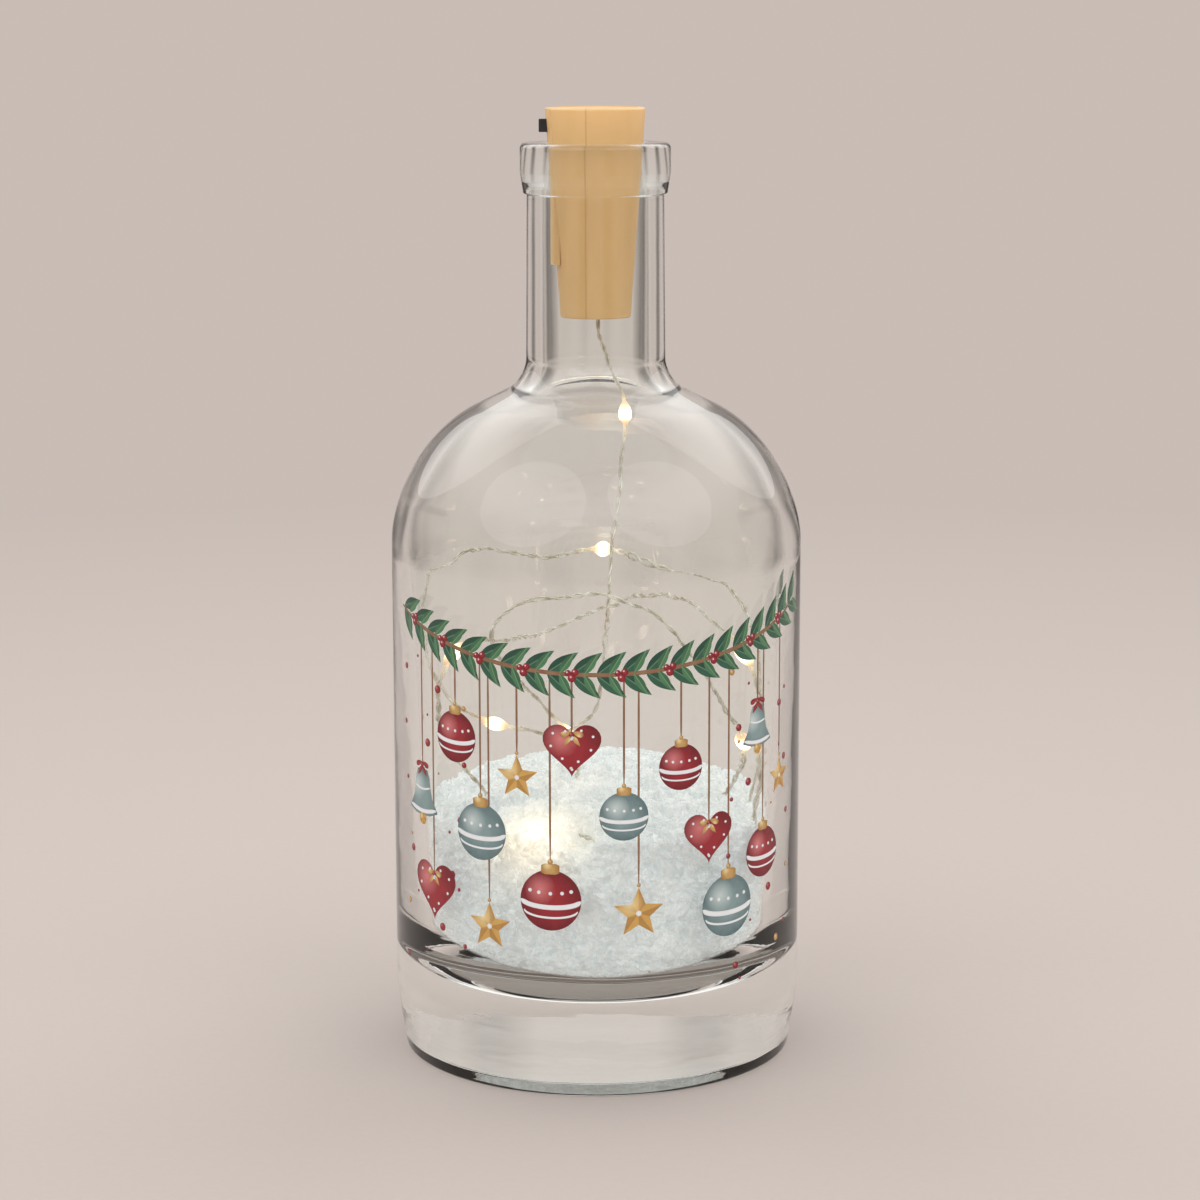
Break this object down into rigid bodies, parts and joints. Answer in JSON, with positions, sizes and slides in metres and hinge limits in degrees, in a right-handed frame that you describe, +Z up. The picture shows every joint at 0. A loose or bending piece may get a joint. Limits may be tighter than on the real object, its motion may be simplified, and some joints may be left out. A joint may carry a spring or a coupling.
{
  "type": "bottle lamp",
  "caption": "Clear glass bottle part filled with white crystals, with a cork-shaped battery stopper that lights a string of small lamps inside.",
  "frame": {"origin": "middle of the bottle's foot ring, on the surface that it stands on", "axes": "+Z up along the bottle's axis; the printed front faces -Y and the switch faces -X"},
  "size_m": [0.09, 0.0902, 0.208],
  "materials": {
    "bottle_glass": "clear pressed glass, glossy",
    "white_crystals": "coarse white translucent crystals",
    "cork_plastic": "fine satin moulded plastic in a cork colour",
    "seal_silicone": "translucent silicone",
    "switch_black": "satin black moulded plastic",
    "contact_steel": "nickel plated spring steel",
    "cell_steel": "nickel plated can",
    "cell_seal_nylon": "moulded nylon",
    "board_green": "solder resist over glass fibre",
    "resistor_black": "matt",
    "hook_up_wire": "insulated flexible wire",
    "string_wire": "silver coloured twisted pair, lacquered",
    "lamp_resin": "clear resin drop, lit warm white",
    "lamp_chip": "lit warm white",
    "ink_green": "screen print ink",
    "ink_red": "screen print ink",
    "ink_grey": "screen print ink",
    "ink_gold": "screen print ink",
    "ink_brown": "screen print ink",
    "ink_white": "screen print ink"
  },
  "bodies": {
    "root": {"bottle": "bottle_glass", "crystal_fill": "white_crystals", "print_garland": "ink_green", "print_red": "ink_red", "print_grey": "ink_grey", "print_gold": "ink_gold", "print_threads": "ink_brown", "print_dots": "ink_white", "light_string": "string_wire", "led_drop_02": "lamp_resin", "led_drop_03": "lamp_resin", "led_drop_04": "lamp_resin", "led_drop_05": "lamp_resin", "led_drop_06": "lamp_resin", "led_drop_07": "lamp_resin", "led_drop_08": "lamp_resin", "led_drop_09": "lamp_resin", "led_drop_10": "lamp_resin", "led_chip_02": "lamp_chip", "led_chip_03": "lamp_chip", "led_chip_04": "lamp_chip", "led_chip_05": "lamp_chip", "led_chip_06": "lamp_chip", "led_chip_07": "lamp_chip", "led_chip_08": "lamp_chip", "led_chip_09": "lamp_chip", "led_chip_10": "lamp_chip"},
    "stopper": {"cork_shell": "cork_plastic", "wire_grommet": "seal_silicone", "lead_wire": "string_wire", "led_drop_01": "lamp_resin", "led_chip_01": "lamp_chip"},
    "tray": {"battery_tray": "cork_plastic", "switch_body": "switch_black", "switch_wire": "hook_up_wire", "contact_leaf": "contact_steel", "contact_plate": "contact_steel", "circuit_board": "board_green", "resistor": "resistor_black", "inner_wires": "hook_up_wire", "cell_cap_1": "cell_steel", "cell_cap_2": "cell_steel", "cell_cap_3": "cell_steel", "cell_seal_1": "cell_seal_nylon", "cell_seal_2": "cell_seal_nylon", "cell_seal_3": "cell_seal_nylon", "cell_can_1": "cell_steel", "cell_can_2": "cell_steel", "cell_can_3": "cell_steel"},
    "lever": {"switch_lever": "switch_black"}
  },
  "joints": [
    {"name": "stopper_lift", "type": "slide", "parent": "root", "child": "stopper", "axis": [0, 0, 1], "range_m": [0, 0.045], "deforming": ["lead_wire"]},
    {"name": "tray_slide", "type": "slide", "parent": "stopper", "child": "tray", "axis": [0, 0, 1], "range_m": [0, 0.036], "deforming": ["inner_wires"]},
    {"name": "switch_slide", "type": "slide", "parent": "tray", "child": "lever", "axis": [0, 1, 0], "range_m": [0, 0.002]}
  ]
}
